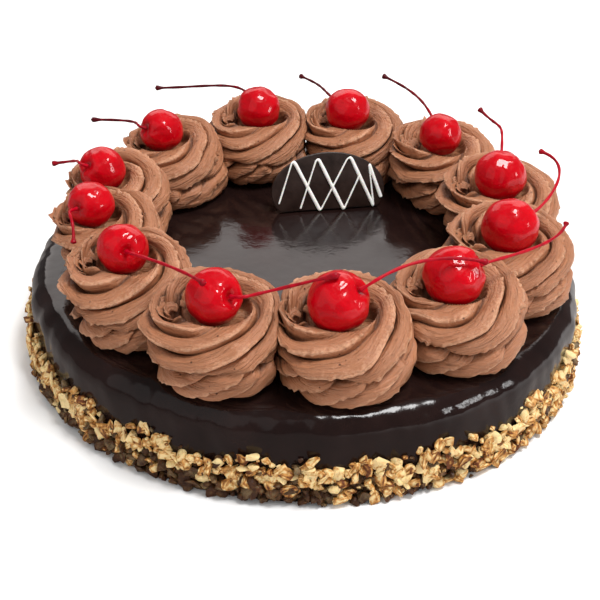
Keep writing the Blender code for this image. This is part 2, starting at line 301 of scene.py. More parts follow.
class Finish:
    """A procedural material under construction, with one Principled shader."""

    def __init__(self, name: str, **constants: float | tuple) -> None:
        """Open a material.

        Args:
            name: Name of the material.
            **constants: Values of the shader's own sockets, with _ for a space.
        """
        self.material = bpy.data.materials.new(name)
        self.material.use_nodes = True
        self.tree = self.material.node_tree
        self.shader = preset(self.tree.nodes["Principled BSDF"], **constants)
        self.place = self.add("ShaderNodeTexCoord").outputs["Object"]

    def add(self, kind: str, **values: float | tuple) -> bpy.types.Node:
        """Add a node with the values of its own inputs."""
        return preset(self.tree.nodes.new(kind), **values)

    def join(self, source: Socket, target: Socket) -> None:
        """Link an output to an input."""
        self.tree.links.new(source, target)

    def feed(self, socket: str, source: Socket) -> None:
        """Link an output to a socket of the shader."""
        self.join(source, self.shader.inputs[socket])

    def kept(self, name: str, vector: bool = False) -> Socket:
        """Read an attribute of the mesh.

        Args:
            name: Name of the attribute.
            vector: Whether it is a vector.

        Returns:
            The output that carries it.
        """
        node = self.add("ShaderNodeAttribute")
        node.attribute_name = name
        return node.outputs["Vector" if vector else "Fac"]

    def effect(self, group: bpy.types.NodeTree, scale: float, place: Socket | None = None) -> Socket:
        """Place one of the shared effects.

        Args:
            group: The effect.
            scale: How many of its details go to a metre.
            place: Coordinates, or the object's own.

        Returns:
            The amount that it gives.
        """
        node = self.add("ShaderNodeGroup")
        node.node_tree = group
        node.inputs["Scale"].default_value = scale
        self.join(place or self.place, node.inputs["Place"])
        return node.outputs["Amount"]

    def clouds(self, scale: float, place: Socket | None = None) -> Socket:
        """Soft clouds, so many to a metre."""
        return self.effect(Effects.mottle(), scale, place)

    def stretched(self, place: Socket, scale: tuple[float, float, float]) -> Socket:
        """Coordinates scaled by a different number along each axis."""
        node = self.add("ShaderNodeMapping", Scale=scale)
        self.join(place, node.inputs["Vector"])
        return node.outputs["Vector"]

    def sum(self, first: Socket, second: Socket | float, operation: str = "ADD") -> Socket:
        """Combine two values.

        Args:
            first: A value.
            second: Another value, or a number.
            operation: Name of the Math node's operation.

        Returns:
            The result.
        """
        node = self.add("ShaderNodeMath")
        node.operation = operation
        self.join(first, node.inputs[0])
        if isinstance(second, float):
            node.inputs[1].default_value = second
        else:
            self.join(second, node.inputs[1])
        return node.outputs[0]

    def between(self, value: Socket, low: float, high: float) -> Socket:
        """Turn a value from nothing to one into a value from low to high."""
        node = self.add("ShaderNodeMapRange", To_Min=low, To_Max=high)
        self.join(value, node.inputs["Value"])
        return node.outputs["Result"]

    def tones(self, value: Socket, *stops: tuple[float, Colour]) -> Socket:
        """Turn a value into a colour.

        Args:
            value: A value from nothing to one.
            *stops: Values with the linear colour that each gets.

        Returns:
            The colour.
        """
        node = self.add("ShaderNodeValToRGB")
        while len(node.color_ramp.elements) < len(stops):
            node.color_ramp.elements.new(0.5)
        for element, (position, colour) in zip(node.color_ramp.elements, stops):
            element.position = position
            element.color = (*colour, 1.0)
        self.join(value, node.inputs["Fac"])
        return node.outputs["Color"]

    def blend(self, amount: Socket, base: Socket, over: Socket | Colour) -> Socket:
        """Lay one colour over another.

        Args:
            amount: How much of the upper colour shows.
            base: The lower colour.
            over: The upper colour.

        Returns:
            The blended colour.
        """
        node = self.add("ShaderNodeMix")
        node.data_type = "RGBA"
        self.join(amount, node.inputs["Factor"])
        self.join(base, node.inputs["A"])
        if isinstance(over, tuple):
            node.inputs["B"].default_value = (*over, 1.0)
        else:
            self.join(over, node.inputs["B"])
        return node.outputs["Result"]

    def relief(self, height: Socket, depth: float, below: Socket | None = None) -> Socket:
        """Bumps of a given depth.

        Args:
            height: The height, from nothing to one.
            depth: What one stands for, in metres.
            below: Bumps that these lie on.

        Returns:
            The bumped normal.
        """
        node = self.add("ShaderNodeBump", Distance=depth)
        self.join(height, node.inputs["Height"])
        if below is not None:
            self.join(below, node.inputs["Normal"])
        return node.outputs["Normal"]


@dataclass(frozen=True)
class GlazeFinish:
    """Poured dark chocolate glaze, glossy and slightly uneven."""

    dark: Colour = (0.0085, 0.0038, 0.0034)
    light: Colour = (0.017, 0.0078, 0.0066)
    roughness: tuple[float, float] = (0.06, 0.17)
    smear: tuple[float, float, float] = (1.0, 1.0, 0.35)
    ripple: float = 0.06 * MM

    def build(self) -> bpy.types.Material:
        """Make the material."""
        made = Finish("dark_glaze", IOR=1.36)
        made.feed("Base Color", made.tones(made.clouds(45.0), (0.0, self.dark), (1.0, self.light)))
        smears = made.clouds(120.0, made.stretched(made.place, self.smear))
        made.feed("Roughness", made.between(smears, *self.roughness))
        made.feed("Normal", made.relief(made.clouds(190.0), self.ripple))
        return made.material


@dataclass(frozen=True)
class CreamFinish:
    """Whipped mocha cream: matt, with drawn-out lines, air holes and torn edges, and painted shade in its
    creases and holes and painted highlight on its lips.
    """

    # Colour of the painted shade in the creases, in the joint between the turns and at the foot; also mixed
    # faintly into the drawn-out lines.
    shade: Colour = (0.090, 0.028, 0.010)
    body: Colour = (0.420, 0.172, 0.082)
    # Painted highlight: the lighter colour on the lips of the lobes.
    edge: Colour = (0.62, 0.320, 0.185)
    # Painted shade inside the air holes.
    hole: Colour = (0.08, 0.025, 0.010)
    line_scale: tuple[float, float, float] = (45.0, 1500.0, 1.0)
    broad_scale: tuple[float, float, float] = (60.0, 420.0, 1.0)
    line_depth: float = 0.38 * MM
    broad_depth: float = 0.90 * MM
    crumb_depth: float = 0.09 * MM
    hole_depth: float = 0.5 * MM

    def build(self) -> bpy.types.Material:
        """Make the material."""
        made = Finish(
            "mocha_cream",
            Subsurface_Weight=0.12,
            Subsurface_Radius=(1.0, 0.5, 0.3),
            Subsurface_Scale=1.2 * MM,
            IOR=1.42,
        )
        rope = made.kept("rope", vector=True)
        # The crest attribute is low in creases, the joint and at the foot, for painted shade, and high on the
        # lips, for painted highlight.
        height = made.kept("crest")
        lines = made.clouds(1.0, made.stretched(rope, self.line_scale))
        broad = made.clouds(1.0, made.stretched(rope, self.broad_scale))
        clouds = made.clouds(110.0)
        crumbs = made.clouds(900.0)
        holes = made.effect(Effects.pits(), 480.0)
        ragged = made.sum(height, made.between(crumbs, -0.10, 0.10))
        base = made.tones(ragged, (0.05, self.shade), (0.42, self.body), (0.84, self.body), (1.0, self.edge))
        layers = ((clouds, 0.25, self.body), (lines, 0.20, self.shade), (holes, 0.8, self.hole))
        for amount, most, over in layers:
            base = made.blend(made.between(amount, 0.0, most), base, over)
        made.feed("Base Color", base)
        made.feed("Roughness", made.between(crumbs, 0.36, 0.56))
        normal = made.relief(lines, self.line_depth)
        normal = made.relief(broad, self.broad_depth, normal)
        normal = made.relief(crumbs, self.crumb_depth, normal)
        normal = made.relief(made.between(holes, 1.0, 0.0), self.hole_depth, normal)
        made.feed("Normal", normal)
        return made.material


@dataclass(frozen=True)
class NutFinish:
    """Chopped roasted nuts: pale where broken, brown on the skin, some with glaze on them, and the same dark
    colour as painted shade on the bed of pieces under and between them.
    """

    skin: Colour = (0.13, 0.033, 0.007)
    gold: Colour = (0.58, 0.27, 0.065)
    pale: Colour = (0.86, 0.64, 0.31)
    # Dark colour: glaze on some pieces, and painted shade on the whole bed under the others.
    glaze_and_shade: Colour = (0.052, 0.020, 0.009)
    grain_depth: float = 0.12 * MM
    spot_depth: float = 0.25 * MM

    def build(self) -> bpy.types.Material:
        """Make the material."""
        made = Finish("chopped_nuts", Subsurface_Weight=0.08, Subsurface_Scale=0.8 * MM, IOR=1.36)
        tone = made.kept("tone")
        spots = made.clouds(420.0)
        level = made.sum(tone, made.between(spots, -0.26, 0.22))
        base = made.tones(level, (0.14, self.skin), (0.40, self.gold), (0.64, self.pale), (1.0, self.pale))
        glaze_and_shade = made.kept("glaze_and_shade")
        patches = made.sum(glaze_and_shade, made.between(made.clouds(260.0), -0.16, 0.10))
        made.feed("Base Color", made.blend(patches, base, self.glaze_and_shade))
        made.feed("Roughness", made.between(glaze_and_shade, 0.45, 0.3))
        grain = made.relief(made.clouds(1300.0), self.grain_depth)
        made.feed("Normal", made.relief(spots, self.spot_depth, grain))
        return made.material


@dataclass(frozen=True)
class CherryFinish:
    """Candied cherry: wet, deep red and slightly see-through, darker towards its stem's dimple as painted
    shade.
    """

    deep: Colour = (0.34, 0.0, 0.003)
    bright: Colour = (0.52, 0.0, 0.006)
    dent_depth: float = 0.22 * MM
    wrinkle_depth: float = 0.22 * MM

    def build(self) -> bpy.types.Material:
        """Make the material."""
        made = Finish(
            "candied_cherry",
            Roughness=0.3,
            IOR=1.2,
            Subsurface_Weight=0.15,
            Subsurface_Radius=(1.0, 0.12, 0.08),
            Subsurface_Scale=3.0 * MM,
            Specular_IOR_Level=0.3,
            Coat_Weight=0.5,
            Coat_Roughness=0.02,
        )
        clouds = made.clouds(110.0)
        # Darker towards the stem's dimple: painted shade in the hollow.
        level = made.sum(made.between(clouds, 0.35, 1.0), made.kept("dimple"), "MULTIPLY")
        made.feed("Base Color", made.tones(level, (0.0, self.deep), (0.9, self.bright)))
        dents = made.relief(clouds, self.dent_depth)
        made.feed("Normal", made.relief(made.clouds(260.0), self.wrinkle_depth, dents))
        return made.material


@dataclass(frozen=True)
class StemFinish:
    """Cherry stem: stained red, browner towards its end, and darker all along on the stems at the back of the
    ring, as painted shade.
    """

    red: Colour = (0.42, 0.001, 0.012)
    brown: Colour = (0.07, 0.003, 0.006)

    def build(self) -> bpy.types.Material:
        """Make the material."""
        made = Finish("cherry_stem", Roughness=0.34, IOR=1.22)
        streaks = made.clouds(500.0)
        level = made.sum(made.kept("along"), made.between(streaks, -0.25, 0.25))
        made.feed("Base Color", made.tones(level, (0.15, self.red), (0.95, self.brown)))
        made.feed("Normal", made.relief(streaks, 0.12 * MM))
        return made.material


@dataclass(frozen=True)
class PlaqueFinish:
    """Moulded dark chocolate with a satin face."""

    dark: Colour = (0.012, 0.006, 0.0045)
    light: Colour = (0.030, 0.015, 0.011)

    def build(self) -> bpy.types.Material:
        """Make the material."""
        made = Finish("dark_chocolate", IOR=1.45)
        bloom = made.clouds(130.0)
        made.feed("Base Color", made.tones(bloom, (0.0, self.dark), (1.0, self.light)))
        made.feed("Roughness", made.between(bloom, 0.30, 0.48))
        made.feed("Normal", made.relief(made.clouds(700.0), 0.04 * MM))
        return made.material


@dataclass(frozen=True)
class DrizzleFinish:
    """White chocolate, set in piped threads."""

    white: Colour = (0.98, 0.97, 0.93)
    cream: Colour = (0.92, 0.89, 0.82)

    def build(self) -> bpy.types.Material:
        """Make the material."""
        made = Finish(
            "white_chocolate",
            Roughness=0.35,
            IOR=1.45,
            Subsurface_Weight=0.1,
            Subsurface_Scale=0.6 * MM,
        )
        clouds = made.clouds(600.0)
        made.feed("Base Color", made.tones(clouds, (0.2, self.cream), (0.6, self.white)))
        made.feed("Normal", made.relief(clouds, 0.06 * MM))
        return made.material


def dress(piece: bpy.types.Object, material: bpy.types.Material, slot: Slot, *nodes: str) -> bpy.types.Object:
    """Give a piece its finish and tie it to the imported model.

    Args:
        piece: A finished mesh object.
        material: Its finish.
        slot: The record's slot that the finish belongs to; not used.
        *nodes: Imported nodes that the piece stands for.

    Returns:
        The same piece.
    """
    piece.data.materials.clear()
    piece.data.materials.append(material)
    take(piece)
    bpy.ops.object.shade_smooth()
    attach(piece, BODY)
    if nodes:
        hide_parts(*nodes)
    faces = sum(len(face.vertices) - 2 for face in piece.data.polygons)
    LOG.info("%s: %d triangles", piece.name, faces)
    return piece


# ---- Glazed cake --------------------------------------------------------------------------------


@dataclass
class GlazedCake:
    """The cake under its glaze: straight sides, a soft shoulder and a nearly level top."""

    radius: float = 114 * MM
    height: float = 36 * MM
    shoulder: float = 9 * MM
    columns: int = 420
    side_rings: int = 16
    shoulder_rings: int = 14
    top_rings: int = 26
    run: float = 0.32 * MM
    fold: float = 0.16 * MM
    sag: float = 0.55 * MM
    ripple: float = 0.07 * MM
    shoulder_ripple: float = 0.10 * MM
    top_drop: float = 0.25 * MM
    finish: GlazeFinish = field(default_factory=GlazeFinish)

    def rings(self) -> list[tuple[float, float]]:
        """Radius and height of each ring, from the foot to the middle of the top."""
        low = self.height - self.shoulder
        found = [(self.radius, low * i / self.side_rings) for i in range(1, self.side_rings + 1)]
        for i in range(1, self.shoulder_rings + 1):
            turn = 0.5 * math.pi * i / self.shoulder_rings
            inwards = self.shoulder * (1 - math.cos(turn))
            found.append((self.radius - inwards, low + self.shoulder * math.sin(turn)))
        flat = self.radius - self.shoulder
        found += [(flat * (1 - i / self.top_rings), self.height) for i in range(1, self.top_rings)]
        return found

    def turned(self) -> bpy.types.Object:
        """Draw the body up ring by ring from its foot."""
        bpy.ops.object.select_all(action="DESELECT")
        bpy.ops.mesh.primitive_circle_add(vertices=self.columns, radius=self.radius, fill_type="NGON")
        piece = bpy.context.object
        piece.name = piece.data.name = "glazed_cake"
        bpy.ops.object.mode_set(mode="EDIT")
        radius, height = self.radius, 0.0
        for ring_radius, ring_height in self.rings():
            bpy.ops.mesh.extrude_region_move(TRANSFORM_OT_translate={"value": (0, 0, ring_height - height)})
            share = ring_radius / radius
            bpy.ops.transform.resize(value=(share, share, 1))
            radius, height = ring_radius, ring_height
        bpy.ops.mesh.poke()
        bpy.ops.object.mode_set(mode="OBJECT")
        return piece

    def uneven(self, points: Points) -> Points:
        """Let the poured glaze run and settle.

        Args:
            points: Points of the true turned body.

        Returns:
            The same points, slightly off.
        """
        reach = np.hypot(points[:, 0], points[:, 1])
        angle = np.arctan2(points[:, 1], points[:, 0])
        side = np.clip((reach - 0.9 * self.radius) / (0.1 * self.radius), 0, 1)
        lift = points[:, 2] / self.height
        around = np.stack([np.cos(angle), np.sin(angle)], axis=1) * self.radius
        runs = Waves(11, 26 * MM).at(around)
        folds = Waves(12, 9 * MM).at(np.column_stack([around, points[:, 2] * 0.6]))
        out = side * (self.run * runs + self.fold * folds) * np.clip(2.2 * lift, 0.0, 1.0)
        out -= self.sag * side * np.clip(lift, 0, 1) ** 3
        way = np.column_stack([np.cos(angle), np.sin(angle), np.zeros_like(angle)])
        moved = points + way * out[:, None]
        top = np.clip((points[:, 2] - 0.75 * self.height) / (0.25 * self.height), 0, 1)
        ripple = self.ripple * Waves(13, 34 * MM).at(points[:, :2]) + self.shoulder_ripple * side * folds
        moved[:, 2] += top * (ripple - self.top_drop)
        return moved

    def build(self) -> None:
        """Make the body under its glaze."""
        piece = self.turned()
        place_points(piece, self.uneven(points_of(piece)))
        weld(piece, 0.001 * MM)
        dress(piece, self.finish.build(), Slot.GLAZE, "cake")


# ---- Band of chopped nuts -----------------------------------------------------------------------


class NutKind(Enum):
    """Ways in which a nut breaks when it is chopped."""

    BED = "bed"
    CHUNK = "chunks"
    FLAKE = "flakes"
    CRUMB = "crumbs"


@dataclass(frozen=True)
class NutShare:
    """How the pieces of one kind are laid round the band, and how big they are."""

    kind: NutKind
    columns: int
    rows: int
    length: tuple[float, float]
    flatness: tuple[float, float]
    cuts: int
    depth: tuple[float, float]
    dark_chance: float


@dataclass
class NutBand:
    """Chopped nuts pressed on the glaze round the foot of the cake."""

    radius: float = 114 * MM
    height: float = 17.5 * MM
    limit: float = 118.3 * MM
    masters: int = 9
    seed: int = 23
    shares: tuple[NutShare, ...] = (
        # Bed pieces lie deepest and all take the dark colour: painted shade and glaze in the gaps between the
        # nuts.
        NutShare(NutKind.BED, 190, 5, (3.4 * MM, 5.2 * MM), (0.55, 0.85), 6, (-1.8 * MM, -0.2 * MM), 1.0),
        NutShare(NutKind.CHUNK, 180, 5, (3.2 * MM, 5.6 * MM), (0.50, 0.80), 8, (0.5 * MM, 2.4 * MM), 0.05),
        NutShare(NutKind.FLAKE, 150, 2, (4.2 * MM, 7.0 * MM), (0.22, 0.34), 7, (1.6 * MM, 3.0 * MM), 0.02),
        NutShare(NutKind.CRUMB, 300, 3, (1.1 * MM, 2.2 * MM), (0.6, 0.9), 3, (0.4 * MM, 2.8 * MM), 0.25),
    )
    breadth: tuple[float, float] = (0.6, 0.95)
    flake_tilt: float = 0.5
    curl: float = 0.9
    bed_cover: float = 0.72
    strays: float = 0.07
    stray_rise: tuple[float, float] = (-0.4, 1.0)
    stray_step: float = 2.0 * MM
    lean: float = 0.35
    tone: tuple[float, float] = (0.66, 0.16)
    low_share: float = 0.40
    low_shade: float = 0.12
    rim_toast: float = 0.52
    # Low on the band, most towards this side, more pieces take the dark colour.
    dark_side_deg: tuple[float, float] = (-106, 34)
    dark_there: float = 0.95
    dark_elsewhere: float = 0.08
    finish: NutFinish = field(default_factory=NutFinish)

    def master(self, share: NutShare, rng: np.random.Generator) -> tuple[Points, np.ndarray, np.ndarray]:
        """Break one nut: a block cut off by planes at random, with its sides bulged a little.

        Args:
            share: The kind of piece.
            rng: Source of chance.

        Returns:
            Points and triangles of a piece about one metre long, and one for each point on an edge
            where two sides meet.
        """
        bpy.ops.object.select_all(action="DESELECT")
        bpy.ops.mesh.primitive_cube_add(size=1.0)
        piece = bpy.context.object
        bpy.ops.object.mode_set(mode="EDIT")
        for _ in range(share.cuts):
            way = unit(rng.normal(size=3))
            bpy.ops.mesh.select_all(action="SELECT")
            bpy.ops.mesh.bisect(
                plane_co=tuple(way * rng.uniform(0.30, 0.46)),
                plane_no=tuple(way),
                use_fill=True,
                clear_outer=True,
            )
        bpy.ops.mesh.select_all(action="SELECT")
        bpy.ops.mesh.remove_doubles(threshold=0.11)
        bpy.ops.mesh.normals_make_consistent(inside=False)
        bpy.ops.object.mode_set(mode="OBJECT")
        corners = len(piece.data.vertices)
        bpy.ops.object.mode_set(mode="EDIT")
        bpy.ops.mesh.select_all(action="SELECT")
        bpy.ops.mesh.poke(offset=0.07)
        bpy.ops.mesh.quads_convert_to_tris()
        bpy.ops.mesh.normals_make_consistent(inside=False)
        bpy.ops.object.mode_set(mode="OBJECT")
        points = points_of(piece)
        flat = np.empty(len(piece.data.polygons) * 3, dtype=int)
        piece.data.polygons.foreach_get("vertices", flat)
        bpy.data.objects.remove(piece)
        return points, flat.reshape(-1, 3), (np.arange(len(points)) < corners).astype(float)

    def edge(self, angle: np.ndarray) -> np.ndarray:
        """Height of the band's uneven upper edge at each direction."""
        around = np.stack([np.cos(angle), np.sin(angle)], axis=1) * self.radius
        return self.height + 1.5 * MM * Waves(31, 19 * MM).at(around)

    @staticmethod
    def tumble(amount: float, rng: np.random.Generator) -> Matrix:
        """A turn by an amount round a direction at random."""
        return Matrix.Rotation(amount, 3, Vector(rng.normal(size=3)).normalized())

    def turned(
        self, share: NutShare, points: Points, length: float, angle: float, rng: np.random.Generator
    ) -> Points:
        """Size and turn one piece. Flakes curl and lie against the band, and the others lie anyhow.

        Args:
            share: The kind of piece.
            points: Points of a broken nut of that kind.
            length: The piece's length.
            angle: Its direction round the cake.
            rng: Source of chance.

        Returns:
            Its points about its own middle.
        """
        size = length * np.array([1.0, rng.uniform(*self.breadth), rng.uniform(*share.flatness)])
        spin = self.tumble(rng.uniform(0, TAU), rng)
        sized = points * size
        if share.kind is NutKind.FLAKE:
            tilt = self.tumble(rng.normal() * self.flake_tilt, rng)
            spin = Matrix.Rotation(angle, 3, "Z") @ tilt @ Matrix.Rotation(math.pi / 2, 3, "Y")
            spin = spin @ Matrix.Rotation(rng.uniform(0, TAU), 3, "Z")
            sized[:, 2] += self.curl * rng.uniform(-1, 1) * (sized[:, :2] ** 2).sum(axis=1) / length
        return sized @ np.array(spin).T

    def scatter(self, share: NutShare, rng: np.random.Generator) -> bpy.types.Object:
        """Press one kind of piece on the band.

        Args:
            share: The kind of piece, and how many.
            rng: Source of chance.

        Returns:
            One mesh with every piece of the kind.
        """
        masters = [self.master(share, rng) for _ in range(self.masters)]
        count = share.columns * share.rows
        row, column = np.divmod(np.arange(count), share.columns)
        angle = (column + 0.5 * (row % 2) + rng.uniform(-0.42, 0.42, count)) / share.columns * TAU
        level = np.clip((row + 0.5 + rng.uniform(-0.45, 0.45, count)) / share.rows, 0, 1)
        top = self.edge(angle)
        parts, tones, glaze_and_shade = [], [], []
        for index in range(count):
            points, faces, rim = masters[rng.integers(self.masters)]
            length = rng.uniform(*share.length)
            turned = self.turned(share, points, length, angle[index], rng)
            depth = rng.uniform(*share.depth)
            cover = self.bed_cover if share.kind is NutKind.BED else 1.0
            height = 0.25 * length + level[index] * max(cover * top[index] - 0.5 * length, 0)
            if share.kind is not NutKind.BED and rng.random() < self.strays:
                height = top[index] + rng.uniform(*self.stray_rise) * self.stray_step
                depth = min(depth, 0.22 * length)
            way = np.array([math.cos(angle[index]), math.sin(angle[index]), 0.0])
            reach = self.radius + depth * (1.0 - self.lean * height / self.height)
            turned += way * reach + np.array([0, 0, height])
            out = np.hypot(turned[:, 0], turned[:, 1]).max() - self.limit
            if out > 0:
                turned -= way * out
            turned[:, 2] = np.maximum(turned[:, 2], 0.0)
            parts.append((turned, faces))
            low = np.clip(1.6 - height / (self.low_share * self.height), 0, 1)
            tone = np.clip(rng.normal(*self.tone), 0.1, 1.0) * (1 - self.low_shade * low)
            there = facing(angle[index], *self.dark_side_deg)
            chance = share.dark_chance + self.dark_there * there * low + self.dark_elsewhere * low
            # wet marks a piece that takes the dark colour: every bed piece, as painted shade, and some others
            # at random or low on the band.
            wet = 1.0 if rng.random() < chance else 0.0
            tones.append(tone + self.rim_toast * (0.3 - rim * rng.uniform(0.4, 1.1)))
            glaze_and_shade.append(np.full(len(turned), wet * rng.uniform(0.88, 1.0)))
        piece = joined(f"nut_{share.kind.value}", parts)
        keep_values(piece, "tone", np.concatenate(tones))
        keep_values(piece, "glaze_and_shade", np.concatenate(glaze_and_shade))
        return piece

    def build(self) -> None:
        """Make the band, one piece for each kind."""
        rng = np.random.default_rng(self.seed)
        material = self.finish.build()
        for share in self.shares:
            take(dress(self.scatter(share, rng), material, Slot.NUTS, "cake"))
            bpy.ops.object.shade_smooth_by_angle(angle=math.radians(58))


# ---- Toppings -----------------------------------------------------------------------------------


@dataclass(frozen=True)
class Topping:
    """One rosette, its cherry and the cherry's stem, with lengths in millimetres."""

    ring_deg: float
    ring_shift: float
    swirl_radius: float
    swirl_shift: tuple[float, float]
    cherry_radius: float
    stem_root: tuple[float, float, float]
    stem_reach: float
    stem_pull: tuple[float, float, float]
    stem_tip: tuple[float, float, float]

    RING_RADIUS = 85.5
    TOP = 36.3
    RISE = 29.3

    def centre(self) -> np.ndarray:
        """The middle of the cherry, in metres."""
        angle = math.radians(self.ring_deg)
        reach = self.RING_RADIUS + self.ring_shift
        return np.array([reach * math.cos(angle), reach * math.sin(angle), self.TOP + self.RISE]) * MM

    def foot(self) -> np.ndarray:
        """The middle of the rosette's foot, in metres."""
        return self.centre() + np.array([*self.swirl_shift, -self.RISE]) * MM


TOPPINGS = (
    Topping(140, 0.6, 21.5, (4, -1), 9.8, (-7, -6, 4), 11, (-3, 3, 4), (-33, 8, 1)),
    Topping(106, 1.3, 22.5, (0, -2), 10.4, (-6, 5, 6), 8, (-27, 9, 6), (-49, 7, 6)),
    Topping(78, 0.4, 23.5, (3, -1), 10.6, (-7, 7, 3), 10, (-11, 17, 5), (-23, 29, 5)),
    Topping(45, -1.7, 23.0, (1, 0), 9.7, (-3, 8, 4), 13, (-12, 20, 13), (-26, 29, 16)),
    Topping(13, -2.3, 25.0, (0, 0), 11.3, (1, 9, 5), 22, (3, 23, 9), (-7, 34, 16)),
    Topping(-18, -2.1, 25.0, (0, 0), 11.5, (8, 2, 5), 7, (31, 30, 14), (14, 34, 17)),
    Topping(-50, -1.5, 25.0, (2, 0), 11.7, (9, 0, 5), 8, (41, 18, 3), (44, 27, 9)),
    Topping(-82, -0.6, 25.5, (1, 0), 11.4, (8, -2, 7), 9, (27, 14, 15), (53, 13, 10)),
    Topping(-111, 3.2, 25.5, (0, 0), 10.6, (7, -6, 4), 11, (4, -6, 2), (44, -4, 13)),
    Topping(-143, -0.5, 24.0, (1, -4), 10.0, (3, -9, 4), 8, (22, -25, 9), (34, -41, 11)),
    Topping(-169, 1.5, 23.0, (5, -1), 9.5, (-5, -8, 2), 9, (-3, -16, 6), (-3, -25, -4)),
    Topping(-190, 1.8, 21.5, (5, 0), 9.9, (-6, -7, 5), 11, (-5, 4, 3), (-23, 8, -2)),
)


